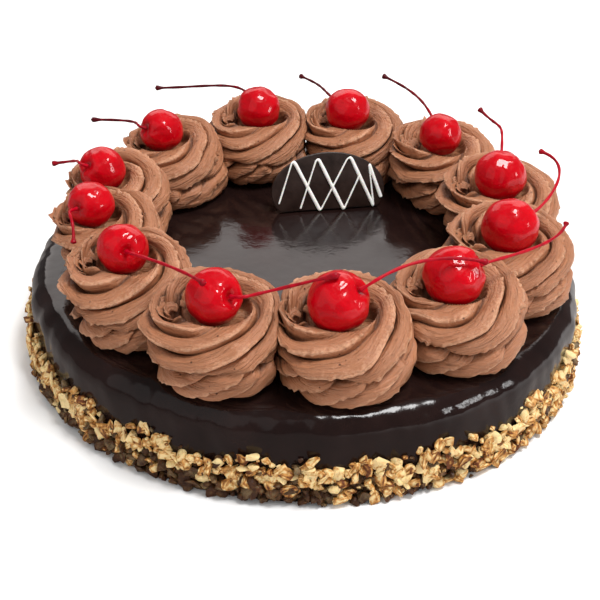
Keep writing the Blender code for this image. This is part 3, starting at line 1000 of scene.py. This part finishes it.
@dataclass
class Rosette:
    """A rope of cream piped through a star tip, coiled twice and left open for a cherry."""

    index: int
    material: bpy.types.Material
    columns: int = 230
    rows_per_lobe: int = 16
    lobes_per_turn: int = 4
    lobes: float = 4.8
    lobes_drawn: int = 11
    curls: int = 3
    climb_side_deg: float = 225
    climb_share: float = 0.55
    height: float = 26 * MM
    tilt: float = 2.5 * MM
    crest: float = 0.9 * MM
    crease: float = 1.9 * MM
    slit: float = 0.9 * MM
    comb: float = 4.6 * MM
    overhang: float = 1.2 * MM
    crest_place: float = 0.22
    joint_height: float = 13.5 * MM
    joint_depth: float = 3.6 * MM
    joint_reach: float = 1.2
    joint_wander: float = 1.1 * MM
    row_crowding: float = 1.25
    wander: float = 0.024
    swell: float = 0.34 * MM
    lower_narrowing: float = 0.06
    lower_shelf: float = 0.035
    lower_spread: float = 0.13
    lower_step: float = 0.45
    lower_slope: float = 1.1
    lower_shift: tuple[float, float] = (0.4 * MM, 2.0 * MM)
    drawing_in: float = 0.03
    most_wider: float = 0.20
    ruffle: float = 0.28 * MM
    pocket_place: tuple[float, float] = (-14.2 * MM, 0.5 * MM)
    pocket_size: tuple[float, float] = (2.9 * MM, 4.6 * MM)
    pocket_reach: float = 0.60
    pocket_depth: float = 7.0 * MM
    pocket_level: float = 21.5 * MM
    press_start: float = 0.7
    press_softness: float = 6 * MM
    gap: float = 0.02 * MM
    near_profile: tuple[tuple[float, float], ...] = (
        (0.72, 0.00),
        (0.88, 0.09),
        (0.95, 0.23),
        (0.97, 0.38),
        (0.985, 0.55),
        (0.97, 0.71),
        (0.86, 0.85),
        (0.66, 0.94),
        (0.42, 0.97),
    )
    far_profile: tuple[tuple[float, float], ...] = (
        (0.76, 0.00),
        (0.91, 0.14),
        (0.94, 0.37),
        (0.98, 0.59),
        (1.01, 0.78),
        (0.93, 0.94),
        (0.80, 1.02),
        (0.65, 1.02),
        (0.52, 0.95),
    )
    foot_run: float = 0.12
    well: tuple[tuple[float, float, float], ...] = ((1.03, 0.48, 0.74), (1.10, 0.3, 0.58), (1.18, 0.0, 0.52))

    def topping(self) -> Topping:
        """The sizes of this rosette and its cherry."""
        return TOPPINGS[self.index]

    def smooth_side(self, profile: tuple[tuple[float, float], ...], share: np.ndarray) -> np.ndarray:
        """Radius and height on one side profile, smooth through the profile's points.

        Args:
            profile: Shares of the radius and the height, from the foot to the well.
            share: Way from the foot, 0, to the well, 1, and a little beyond both.

        Returns:
            Radius and height for each share, in metres.
        """
        knots = np.array(profile)
        knots = np.vstack([2 * knots[0] - knots[1], knots, 2 * knots[-1] - knots[-2]])
        steps = np.linspace(0, 1, 12, endpoint=False)[:, None]
        dense = []
        for a, b, c, d in zip(knots[:-3], knots[1:-2], knots[2:-1], knots[3:]):
            bend = (2 * a - 5 * b + 4 * c - d) * steps**2 + (3 * b - a - 3 * c + d) * steps**3
            dense.append(0.5 * (2 * b + (c - a) * steps + bend))
        line = np.vstack([*dense, knots[-2:-1]])
        place = np.concatenate([[-self.foot_run], np.linspace(0, 1, len(line)), [w[0] for w in self.well]])
        line = np.vstack([[[0.0, 0.0]], line, [w[1:] for w in self.well]])
        reach = np.interp(share, place, line[:, 0]) * self.topping().swirl_radius * MM
        return np.column_stack([reach, np.interp(share, place, line[:, 1]) * self.height])

    def outline(self, share: np.ndarray, angle: np.ndarray) -> tuple[np.ndarray, np.ndarray]:
        """Side of the coil: low and rounded towards the front, with a raised rim elsewhere.

        Args:
            share: Way from the foot, 0, to the well, 1, and a little beyond both.
            angle: Direction round the rosette.

        Returns:
            Radius and height for each point, and the profile's direction there.
        """
        front = facing(angle, 262, 72)[:, None]

        def at(way: np.ndarray) -> np.ndarray:
            """Radius and height at a share of the way."""
            near, far = (self.smooth_side(side, way) for side in (self.near_profile, self.far_profile))
            return front * near + (1 - front) * far

        inside = np.clip(share, 0.0, 1.0)
        return at(share), unit(at(np.minimum(inside + 0.05, 1.0)) - at(np.maximum(inside - 0.05, 0.0)))

    def lobe(
        self, line: np.ndarray, angle: np.ndarray, lively: np.ndarray
    ) -> tuple[np.ndarray, np.ndarray, np.ndarray]:
        """Cross-section of the rope: rounded lobes that overlap like shingles.

        Args:
            line: Place across the coil, counted in lobes.
            angle: Direction round the rosette.
            lively: Unevenness of the lobes.

        Returns:
            How far each point stands off the outline, how far it hangs over the crease below, and
            how near it is to the lobe's lip.
        """
        t = line - np.floor(line)
        left, right, front = facing(angle, 185, 50), facing(angle, 10, 60), facing(angle, 265, 48)
        place = self.crest_place - 0.08 * left
        rise = np.sin(0.5 * math.pi * np.clip(t / place, 0, 1)) ** 0.7
        fall = 1 - np.clip((t - place) / (1 - place), 0, 1) ** (2.5 - 1.4 * left)
        shape = np.where(t < place, rise, fall)
        height = 1 + 0.28 * lively
        deep = self.crease * height * (1 + 1.0 * right + 0.45 * left - 0.35 * front)
        deep += self.comb * height * left * (1 - 0.5 * self.beside(angle))
        out = shape * (deep + self.crest * height) - deep
        out -= self.slit * (1 + right) * hump(np.minimum(t, 1 - t) / (1 + 0.5 * right), 0.0, 0.07)
        hang = self.overhang * height * (1 - 0.7 * left) * hump(t, self.crest_place, 0.16)
        return out, hang, hump(t, place, 0.10)

    def torn(self, rope: Points) -> np.ndarray:
        """How ragged the lips are at each place on the rope: torn in places and calm in others."""
        ragged = Waves(400 + self.index, 3.0 * MM).at(np.column_stack([rope[:, 0], rope[:, 1] * 0.35]))
        return ragged * np.clip(0.55 + 0.5 * Waves(450 + self.index, 9 * MM).at(rope[:, :2]), 0.1, 1.6)

    def gape(
        self, base: Points, angle: np.ndarray, share: np.ndarray, under: np.ndarray, open_at: float
    ) -> np.ndarray:
        """How deep the joint between the two turns stands open.

        Args:
            base: Points on the bare outline.
            angle: Direction round the rosette.
            share: Way from the foot to the well.
            under: Millimetres under the joint.
            open_at: The direction in which it gapes most, in degrees.

        Returns:
            The depth for each point.
        """
        gaping = (0.8 + 1.0 * facing(angle, open_at, 34)) * np.clip(3 * (0.72 - share), 0, 1)
        gaping *= np.clip(0.8 + 0.4 * Waves(550 + self.index, 12 * MM).at(base[:, :2]), 0.2, 1.5)
        return self.joint_depth * gaping * np.exp(-((under / self.joint_reach) ** 2))

    def spread(self, points: Points, lower: np.ndarray, angle: np.ndarray, shift: float) -> Points:
        """Move the lower turn against the upper one, and draw a free left side in.

        Args:
            points: Points about the foot's middle.
            lower: One on the lower turn, nothing on the upper one, and between the two at the joint.
            angle: Direction round the rosette.
            shift: How far the lower turn lies to the right.

        Returns:
            The same points, moved.
        """
        beside = self.beside(angle)
        shelf = self.lower_shelf * facing(angle, 300, 70) + self.lower_spread * beside
        points[:, :2] *= 1 + (lower * (shelf - self.lower_narrowing * facing(angle, 190, 80)))[:, None]
        points[:, 0] += shift * lower
        drawn_in = 1 - self.drawing_in * self.topping().swirl_shift[0] * (1 - beside)
        points[:, 0] *= np.where(points[:, 0] < 0, drawn_in, 1)
        return points

    def skin(self, u: np.ndarray, v: np.ndarray) -> tuple[Points, np.ndarray, np.ndarray]:
        """Wrap the flat grid into the coil.

        Args:
            u: Share of a turn, for each point.
            v: Share of the rows, for each point.

        Returns:
            Points about the foot's middle, the place on the rope, and a level for the cream's colour: low in
            creases, the joint and at the foot as painted shade, high on the lips as painted highlight.
        """
        rng = np.random.default_rng(100 + self.index)
        start = math.radians(rng.uniform(0, 60))
        lobes = self.lobes + rng.uniform(-0.35, 0.35)
        line = v * self.lobes_drawn - 0.5
        number = np.floor(line + 1e-9)
        line = number + np.clip(line - number, 0, 1) ** self.row_crowding
        angle = start + TAU * u
        side_turn = math.radians(self.climb_side_deg + rng.uniform(-15, 15))
        climb = u + self.climb_share * (np.sin(angle - side_turn) - math.sin(start - side_turn)) / TAU
        share = (line - self.lobes_per_turn * (1 - climb)) / lobes
        share = np.clip(share, -self.foot_run, self.well[-1][0])
        side, _ = self.outline(share, angle)
        ring = np.column_stack([np.cos(angle), np.sin(angle)])
        base = np.column_stack([ring * side[:, :1], side[:, 1]])
        inner = np.clip(np.minimum(8 * share, 12 * (1 - share)), 0, 1)
        wander = self.wander * Waves(200 + self.index, 26 * MM).at(base) * inner
        side, along = self.outline(share + wander, angle)
        normal = np.column_stack([along[:, 1], -along[:, 0]])
        turn_number = np.floor((line + 1e-6) / self.lobes_per_turn)
        across = line - turn_number * self.lobes_per_turn
        rope = np.column_stack([(u + turn_number) * 150 * MM, across * 8 * MM, np.zeros_like(u)])
        lively = Waves(300 + self.index, 19 * MM).at(base)
        joint = self.joint_height + rng.uniform(-1, 1) * MM
        joint = joint + self.joint_wander * Waves(350 + self.index, 26 * MM).at(base[:, :2])
        under = (joint - side[:, 1]) / MM
        lower = 1 / (1 + np.exp(-2.2 * under))
        below = under > 0
        steeper = self.lower_slope * np.sin(angle - math.radians(270))
        out, hang, lip = self.lobe(line + below * (self.lower_step - steeper), angle, lively + 1.2 * below)
        calm = 1 - 0.9 * np.exp(-((under / 1.1) ** 2))
        hang, lip = hang * calm, lip * calm
        torn = self.torn(rope)
        out += self.ruffle * lip * torn
        hang += 0.7 * self.ruffle * lip * torn
        out -= self.gape(base, angle, share, under, 240 + rng.uniform(-15, 25))
        out += self.swell * Waves(500 + self.index, 14 * MM).at(base)
        moved = side + normal * (out * inner)[:, None] - along * (hang * inner)[:, None]
        points = np.column_stack([ring * (moved[:, :1] * self.reach_out(angle)[:, None]), moved[:, 1]])
        points = self.spread(points, lower, angle, rng.uniform(*self.lower_shift))
        points[:, :2] += self.well_shift() * np.clip((share[:, None] - 0.45) / 0.5, 0, 1)
        # Painted shade and highlight: dark where the skin sinks into creases and the joint, light on the
        # lips, and dark at the foot below.
        crest = 0.82 * np.clip((out + 3.2 * MM) / (4.0 * MM), 0, 1) + 0.18 * lip
        return points, rope, crest * np.clip(inner + (share > 0.9), 0, 1)

    def towards(self, step: int) -> np.ndarray:
        """The way to a neighbour's foot: the next rosette round the ring, 1, or the one before, -1."""
        return TOPPINGS[(self.index + step) % len(TOPPINGS)].foot() - self.topping().foot()

    def reach_out(self, angle: np.ndarray) -> np.ndarray:
        """How much wider the rosette spreads towards its two neighbours, to rest on them."""
        wider = np.ones_like(angle)
        for step in (-1, 1):
            away = self.towards(step)
            share = np.linalg.norm(away) / 2 / (self.topping().swirl_radius * MM)
            toward = math.degrees(math.atan2(away[1], away[0]))
            wider += facing(angle, toward, 36) * np.clip(share + 0.19 - 1, 0, self.most_wider)
        return wider

    def beside(self, angle: np.ndarray) -> np.ndarray:
        """How much each direction faces one of the two neighbours, from nothing to one."""
        total = np.zeros_like(angle)
        for step in (-1, 1):
            away = self.towards(step)
            total += facing(angle, math.degrees(math.atan2(away[1], away[0])), 38)
        return np.minimum(total, 1.0)

    def well_shift(self) -> np.ndarray:
        """How far the cherry's middle is from that of the rosette's foot, along X and Y."""
        return -np.array(self.topping().swirl_shift) * MM

    def pocket_middle(self) -> np.ndarray:
        """Where the small hollow beside the cherry is, along X and Y, inside the rosette's rim."""
        middle = self.well_shift() + np.array(self.pocket_place)
        room = self.pocket_reach * self.topping().swirl_radius * MM
        return middle * min(1.0, room / np.linalg.norm(middle))

    def pocket(self, points: Points) -> Points:
        """Sink the small hollow where the rope's end was pulled off, beside the cherry."""
        off = np.linalg.norm((points[:, :2] - self.pocket_middle()) / np.array(self.pocket_size), axis=1)
        high = np.clip((points[:, 2] / self.height - 0.7) / 0.2, 0, 1)
        points = points.copy()
        points[:, 2] -= self.pocket_depth * high * np.exp(-(off**2) * (0.6 + 0.4 * off))
        return points

    def curl(self, number: int) -> bpy.types.Object:
        """Stand one thin ragged sheet of cream in the pocket, as the pulled-off end leaves it.

        Args:
            number: Which of the sheets, from the innermost.

        Returns:
            The sheet.
        """
        rng = np.random.default_rng(800 + 10 * self.index + number)
        piece, u, v = wrapped_grid(f"curl_{self.index + 1:02d}_{number}", 26, 14)
        reach = (1.7 + 1.55 * number + rng.uniform(-0.2, 0.2)) * MM
        turn = math.radians(rng.uniform(35, 75)) + math.radians(rng.uniform(190, 240)) * u
        tall = (2.6 + 0.5 * number) * MM * np.sin(math.pi * u) ** 0.6
        ragged = Waves(850 + 10 * self.index + number, 2.0 * MM).at(np.column_stack([u, u]) * 12 * MM)
        tall *= 1 + 0.16 * ragged
        way = np.column_stack([np.cos(turn), np.sin(turn)])
        lift, thick = np.sin(TAU * v), np.cos(TAU * v)
        lean = 0.28 * (lift + 1) ** 1.4 * tall
        out = reach * (1.0 + 0.25 * u) + lean + thick * 0.38 * MM * (1.15 - 0.6 * np.clip(lift, -1, 1))
        flat = way * out[:, None] + self.pocket_middle()
        level = self.pocket_level + self.tilt * flat[:, 1] / (25 * MM) + (0.35 + 0.5 * lift) * tall
        place_points(piece, np.column_stack([flat, level]))
        keep_values(piece, "rope", np.column_stack([u * 14 * MM, v * 6 * MM, 0 * u]))
        # Painted light and shade: each sheet lighter along its upper edge and darker down at its foot.
        keep_values(piece, "crest", np.clip(0.45 + 0.5 * lift, 0, 1))
        return piece

    def pressed(self, points: Points, step: int) -> Points:
        """Squeeze the side that would pass the seam with a neighbour.

        Args:
            points: Points about the foot's middle.
            step: One for the next rosette round the ring, minus one for the one before.

        Returns:
            The squeezed points.
        """
        away = self.towards(step)
        span = np.linalg.norm(away)
        away = away / span
        reach = points @ away
        flat = points - reach[:, None] * away + self.topping().foot() + away * span / 2
        seam = self.index if step > 0 else (self.index - 1) % len(TOPPINGS)
        bulge = step * 0.7 * MM * Waves(600 + seam, 10 * MM).at(flat)
        limit = (span - self.gap) / 2 + bulge
        start = self.press_start * limit
        room = limit + self.press_softness - start
        squeezed = start + room * (1 - np.exp(np.minimum(start - reach, 0) / room))
        change = np.where(reach > start, np.minimum(squeezed, limit) - reach, 0.0)
        return points + change[:, None] * away

    def clear_of_cherries(self, points: Points) -> Points:
        """Keep the cream just outside every cherry."""
        for topping in TOPPINGS:
            middle = topping.centre() - self.topping().foot()
            least = topping.cherry_radius * MM + 0.1 * MM
            off = points - middle
            length = np.linalg.norm(off, axis=1)
            inside = length < least
            points[inside] = middle + unit(off[inside]) * least
        return points

    def build(self) -> None:
        """Make the rosette."""
        rows = self.rows_per_lobe * self.lobes_drawn
        piece, u, v = wrapped_grid(f"cream_rosette_{self.index + 1:02d}", self.columns, rows)
        points, rope, crest = self.skin(u, v)
        points = self.pocket(points)
        radius = self.topping().swirl_radius * MM
        points[:, 2] += self.tilt * points[:, 1] / radius * points[:, 2] / self.height
        for step in (-1, 1):
            points = self.pressed(points, step)
        points = self.clear_of_cherries(points)
        points[:, 2] = np.maximum(points[:, 2], -0.25 * MM)
        place_points(piece, points + self.topping().foot())
        keep_values(piece, "rope", rope)
        # crest carries the cream's painted shade and painted highlight.
        keep_values(piece, "crest", crest)
        weld(piece, 0.01 * MM)
        curls = [self.curl(number) for number in range(self.curls)]
        for curl in curls:
            place_points(curl, self.clear_of_cherries(points_of(curl)) + self.topping().foot())
            weld(curl, 0.01 * MM)
        take(piece)
        for curl in curls:
            curl.select_set(True)
        bpy.ops.object.join()
        dress(piece, self.material, Slot.CREAM, f"rosette_{self.index + 1:02d}")


@dataclass
class Cherry:
    """A candied cherry with a few dents and a dimple for its stem."""

    index: int
    material: bpy.types.Material
    segments: int = 72
    ring_count: int = 48
    mean_reach: float = 0.966
    swell: float = 0.020
    dent: float = 0.009
    dimple: float = 0.20
    dimple_lip: float = 0.012
    pleats: int = 5
    pleat_height: float = 0.011
    wrinkle: float = 0.007

    def build(self) -> None:
        """Make the cherry."""
        topping = TOPPINGS[self.index]
        radius = topping.cherry_radius * MM
        bpy.ops.object.select_all(action="DESELECT")
        bpy.ops.mesh.primitive_uv_sphere_add(segments=self.segments, ring_count=self.ring_count, radius=1.0)
        piece = bpy.context.object
        piece.name = piece.data.name = f"candied_cherry_{self.index + 1:02d}"
        root = unit(np.array(topping.stem_root, float))
        turn = np.array(Vector((0, 0, 1)).rotation_difference(Vector(root)).to_matrix())
        ball = points_of(piece)
        way = unit(ball @ turn.T)
        waves = Waves(700 + self.index, 1.15).at(way)
        small = Waves(720 + self.index, 0.55).at(way)
        near = np.clip(way @ root, -1, 1)
        off = np.arccos(near)
        pleats = np.sin(self.pleats * np.arctan2(ball[:, 1], ball[:, 0]) + 2.5 * waves)
        fine = Waves(740 + self.index, 0.30).at(way)
        reach = self.mean_reach + self.swell * waves + self.dent * small
        reach = reach + self.pleat_height * pleats * hump(off, 0.55, 0.3)
        reach += self.wrinkle * fine * hump(off, 0.75, 0.45)
        reach -= self.dimple * np.exp(-((off / 0.26) ** 2)) - self.dimple_lip * hump(off, 0.5, 0.2)
        reach = np.minimum(reach, 1.0)
        place_points(piece, way * (reach * radius)[:, None] + topping.centre())
        # dimple: low in the stem's hollow, for its painted shade.
        keep_values(piece, "dimple", np.clip(off / 0.45, 0.25, 1.0))
        dress(piece, self.material, Slot.CHERRY, f"cherry_{self.index + 1:02d}")


@dataclass
class Stem:
    """A cherry's stem: one smooth bend with a knob at its free end."""

    index: int
    material: bpy.types.Material
    radius: float = 0.65 * MM
    columns: int = 14
    rows: int = 90
    dimple: float = 0.20
    root_swell: float = 0.55
    knob: float = 1.0
    unevenness: float = 0.10

    def centreline(self, share: np.ndarray) -> Points:
        """Points along the stem, from its root to its tip, in metres."""
        topping = TOPPINGS[self.index]
        way = unit(np.array(topping.stem_root, float))
        root = way * (topping.cherry_radius * (1 - self.dimple) + self.radius / MM)
        corners = np.array([root, root + way * topping.stem_reach, topping.stem_pull, topping.stem_tip])
        s = share[:, None]
        line = (
            corners[0] * (1 - s) ** 3
            + 3 * corners[1] * s * (1 - s) ** 2
            + 3 * corners[2] * s**2 * (1 - s)
            + corners[3] * s**3
        )
        return line * MM + topping.centre()

    def build(self) -> None:
        """Make the stem."""
        piece, u, v = wrapped_grid(f"cherry_stem_{self.index + 1:02d}", self.columns, self.rows)
        line = self.centreline(v)
        along = unit(self.centreline(np.minimum(v + 0.01, 1)) - self.centreline(np.maximum(v - 0.01, 0)))
        up = np.array([0.35, -0.2, 0.91])
        across = unit(np.cross(along, up))
        other = np.cross(across, along)
        thick = 0.92 + self.root_swell * hump(v, 0.0, 0.05) + self.knob * hump(v, 0.985, 0.028)
        thick = thick + self.unevenness * np.sin(v * 31 + self.index)
        thick *= np.sqrt(np.clip((1.0 - v) / 0.012, 0, 1)) * np.sqrt(np.clip(v / 0.006, 0, 1))
        ring = np.cos(TAU * u)[:, None] * across + np.sin(TAU * u)[:, None] * other
        place_points(piece, line + ring * (self.radius * thick)[:, None])
        # Stems at the back of the ring take more of the brown end colour all along: painted shade, as they
        # stand against the light.
        backlit_shade = 0.7 * max(math.sin(math.radians(TOPPINGS[self.index].ring_deg)), 0.0)
        keep_values(piece, "along", 0.5 * v + backlit_shade)
        weld(piece, 0.002 * MM)
        dress(piece, self.material, Slot.STEM, f"stem_{self.index + 1:02d}")


# ---- Plaque -------------------------------------------------------------------------------------


@dataclass
class Plaque:
    """An oval of dark chocolate, cut flat at its foot, with two strands of white drizzle."""

    width: float = 51.5 * MM
    height: float = 25.5 * MM
    thickness: float = 2.2 * MM
    foot_drop: float = 0.5
    place: tuple[float, float, float] = (10 * MM, 40 * MM, 36.6 * MM)
    lean_deg: float = 18
    turn_deg: float = 12
    drizzle_width: float = 1.15 * MM
    corners: int = 112
    long_strand: tuple[tuple[float, float], ...] = (
        (-22.9, 3.4),
        (-15.6, 23.4),
        (-4.1, -0.6),
        (10.1, 24.0),
        (20.6, -0.2),
        (18.8, 19.6),
        (24.2, 3.4),
    )
    short_strand: tuple[tuple[float, float], ...] = ((-13.3, 0.6), (-4.6, 24.0), (6.7, -0.6), (14.5, 14.6))
    chocolate: PlaqueFinish = field(default_factory=PlaqueFinish)
    drizzle: DrizzleFinish = field(default_factory=DrizzleFinish)

    def stand(self) -> np.ndarray:
        """The turn that stands the plaque up and leans it back."""
        turned = Matrix.Rotation(math.radians(self.turn_deg), 3, "Z")
        return np.array(turned @ Matrix.Rotation(math.radians(90 - self.lean_deg), 3, "X"))

    def stood(self, points: Points) -> Points:
        """Move points from the plaque's own plane to their place on the cake."""
        return points @ self.stand().T + np.array(self.place)

    def slab(self) -> bpy.types.Object:
        """Cut the oval slab and soften its edges."""
        half = self.height / (1 + self.foot_drop)
        bpy.ops.object.select_all(action="DESELECT")
        bpy.ops.mesh.primitive_circle_add(vertices=self.corners, radius=1.0, fill_type="NGON")
        piece = bpy.context.object
        piece.name = piece.data.name = "chocolate_plaque"
        bpy.ops.object.mode_set(mode="EDIT")
        bpy.ops.transform.resize(value=(self.width / 2, half, 1))
        bpy.ops.transform.translate(value=(0, self.height - half, 0))
        bpy.ops.mesh.bisect(plane_co=(0, 0, 0), plane_no=(0, 1, 0), use_fill=True, clear_inner=True)
        bpy.ops.mesh.select_all(action="SELECT")
        bpy.ops.mesh.extrude_region_move(TRANSFORM_OT_translate={"value": (0, 0, -self.thickness)})
        bpy.ops.mesh.select_all(action="SELECT")
        bpy.ops.mesh.normals_make_consistent(inside=False)
        bpy.ops.object.mode_set(mode="OBJECT")
        bevel = piece.modifiers.new("edge", "BEVEL")
        bevel.width = 0.45 * MM
        bevel.segments = 3
        bevel.limit_method = "ANGLE"
        bevel.angle_limit = math.radians(40)
        bpy.ops.object.modifier_apply(modifier=bevel.name)
        return piece

    def strand(self, name: str, corners_mm: tuple[tuple[float, float], ...], lift: float) -> bpy.types.Object:
        """Pipe one strand: thick where the hand moves slowly, thin where it is quick.

        Args:
            name: Name of the strand.
            corners_mm: Its turning points on the plaque's face.
            lift: How high its middle lies above the face.

        Returns:
            The strand as a flattened tube.
        """
        corners = np.array(corners_mm) * MM
        count = len(corners) - 1
        piece, u, v = wrapped_grid(name, 12, 60 * count)

        def bare(share: np.ndarray) -> Points:
            """The strand's middle, with sharp turning points."""
            at = np.clip(share, 0, 1) * count
            index = np.minimum(at.astype(int), count - 1)
            return corners[index] + (corners[index + 1] - corners[index]) * (at - index)[:, None]

        def line(share: np.ndarray) -> Points:
            """The strand's middle, rounded off more at its upper turning points than at its lower ones."""
            reach = (0.05 + 0.07 * bare(share)[:, 1] / self.height) / count
            return sum(bare(share + shift * reach) for shift in np.linspace(-1, 1, 9)) / 9

        centre = line(v)
        along = unit(line(np.minimum(v + 0.004, 1)) - line(np.maximum(v - 0.004, 0)))
        across = np.column_stack([along[:, 1], -along[:, 0]])
        down = 0.5 + 0.5 * np.tanh(-along[:, 1] * 4)
        wide = self.drizzle_width * (0.33 + 0.37 * down + 0.04 * np.sin(v * 47))
        ends = np.sqrt(np.clip(np.minimum(v, 1 - v) / 0.004, 0, 1))
        flat = centre + across * (np.cos(TAU * u) * wide * ends)[:, None]
        high = lift + np.sin(TAU * u) * 0.55 * MM * ends
        place_points(piece, self.stood(np.column_stack([flat, high])))
        weld(piece, 0.002 * MM)
        return piece

    def build(self) -> None:
        """Make the slab and its two strands."""
        slab = self.slab()
        place_points(slab, self.stood(points_of(slab)))
        take(dress(slab, self.chocolate.build(), Slot.PLAQUE, "plaque"))
        bpy.ops.object.shade_smooth_by_angle(angle=math.radians(35))
        white = self.drizzle.build()
        strands = (("drizzle_long", self.long_strand, 0.10), ("drizzle_short", self.short_strand, 0.28))
        for name, corners, lift in strands:
            dress(self.strand(name, corners, lift * MM), white, Slot.DRIZZLE, "plaque")


# ---- Stage --------------------------------------------------------------------------------------


@dataclass(frozen=True)
class Softbox:
    """One area light that aims at a point over the cake."""

    name: str
    place: tuple[float, float, float]
    size: tuple[float, float]
    power: float
    aim: tuple[float, float, float] = (0.0, 0.0, 0.03)
    colour: Colour = (1.0, 1.0, 1.0)

    def build(self) -> None:
        """Hang the light."""
        bpy.ops.object.light_add(type="AREA", location=self.place)
        lamp = bpy.context.object
        lamp.name = self.name
        lamp.rotation_euler = (Vector(self.aim) - Vector(self.place)).to_track_quat("-Z", "Y").to_euler()
        lamp.data.shape = "RECTANGLE"
        lamp.data.size, lamp.data.size_y = self.size
        lamp.data.energy = self.power
        lamp.data.color = self.colour


@dataclass
class Studio:
    """Pale floor, soft light and the camera."""

    floor_size: float = 12.0
    floor_colour: Colour = (0.93, 0.93, 0.93)
    # The floor's colours in reflections: painted reflection, darker than the floor and lighter towards +X.
    floor_in_gloss: Colour = (0.28, 0.26, 0.25)
    floor_in_gloss_right: Colour = (0.86, 0.85, 0.84)
    sky: float = 0.50
    sky_in_gloss: float = 0.17
    camera_place: tuple[float, float, float] = (0.0, -0.4337, 0.2865)
    camera_right: tuple[float, float, float] = (0.9996, 0.0176, 0.0211)
    camera_up: tuple[float, float, float] = (-0.0273, 0.533, 0.8457)
    camera_back: tuple[float, float, float] = (0.0036, -0.8459, 0.5333)
    lens: float = 71.3
    lights: tuple[Softbox, ...] = (
        Softbox("key", (0.28, -0.12, 1.0), (0.42, 0.26), 10.0),
        Softbox("fill", (-0.9, -0.9, 0.9), (1.7, 1.7), 4.0),
        Softbox("back_panel", (0.0, 1.15, 0.80), (1.9, 0.75), 9.0, colour=(1.0, 0.93, 0.90)),
        Softbox("window_left", (0.86, -0.42, 0.40), (0.07, 0.30), 1.1),
        Softbox("window_right", (0.90, -0.31, 0.40), (0.07, 0.30), 1.1),
    )

    def floor(self) -> None:
        """Lay the floor: pale to the camera, and darker in reflections, lighter there towards +X, as painted
        reflection.
        """
        bpy.ops.mesh.primitive_plane_add(size=self.floor_size, location=(0, 0, -0.02 * MM))
        floor = bpy.context.object
        floor.name = "floor"
        made = Finish("pale_floor", Roughness=0.9)
        clouds = made.clouds(3.0)
        low = tuple(0.99 * c for c in self.floor_colour)
        pale = made.tones(clouds, (0.0, low), (1.0, self.floor_colour))
        path = made.add("ShaderNodeLightPath")
        sides = made.add("ShaderNodeSeparateXYZ")
        made.join(made.place, sides.inputs["Vector"])
        right = made.sum(sides.outputs["X"], 2.0, "MULTIPLY")
        painted_reflection_tone = made.tones(right, (0.15, self.floor_in_gloss), (0.6, self.floor_in_gloss_right))
        made.feed("Base Color", made.blend(path.outputs["Is Glossy Ray"], pale, painted_reflection_tone))
        floor.data.materials.append(made.material)

    def air(self) -> None:
        """Light everything evenly from all round."""
        world = bpy.data.worlds.new("studio")
        world.use_nodes = True
        shade = world.node_tree.nodes["Background"]
        shade.inputs["Color"].default_value = (1.0, 1.0, 1.0, 1.0)
        nodes, links = world.node_tree.nodes, world.node_tree.links
        path = nodes.new("ShaderNodeLightPath")
        dimmed = preset(nodes.new("ShaderNodeMapRange"), To_Min=self.sky, To_Max=self.sky_in_gloss)
        links.new(path.outputs["Is Glossy Ray"], dimmed.inputs["Value"])
        links.new(dimmed.outputs["Result"], shade.inputs["Strength"])
        bpy.context.scene.world = world

    def camera(self) -> None:
        """Set up the camera."""
        data = bpy.data.cameras.new("camera")
        data.sensor_width = 36.0
        data.lens = self.lens
        data.clip_start, data.clip_end = 0.01, 50.0
        camera = bpy.data.objects.new("camera", data)
        bpy.context.scene.collection.objects.link(camera)
        axes = Matrix((self.camera_right, self.camera_up, self.camera_back)).transposed().to_4x4()
        camera.matrix_world = Matrix.Translation(self.camera_place) @ axes
        bpy.context.scene.camera = camera

    def build(self) -> None:
        """Set the stage."""
        self.floor()
        self.air()
        for light in self.lights:
            light.build()
        self.camera()
        bpy.context.scene.view_settings.view_transform = "Standard"


def main() -> None:
    """Build every piece in order."""
    logging.basicConfig(level=logging.INFO, format="%(name)s: %(message)s")
    Studio().build()
    GlazedCake().build()
    NutBand().build()
    cream = CreamFinish().build()
    red = CherryFinish().build()
    stain = StemFinish().build()
    for index in range(len(TOPPINGS)):
        Rosette(index, cream).build()
        Cherry(index, red).build()
        Stem(index, stain).build()
    Plaque().build()


if __name__ == "__main__":
    main()
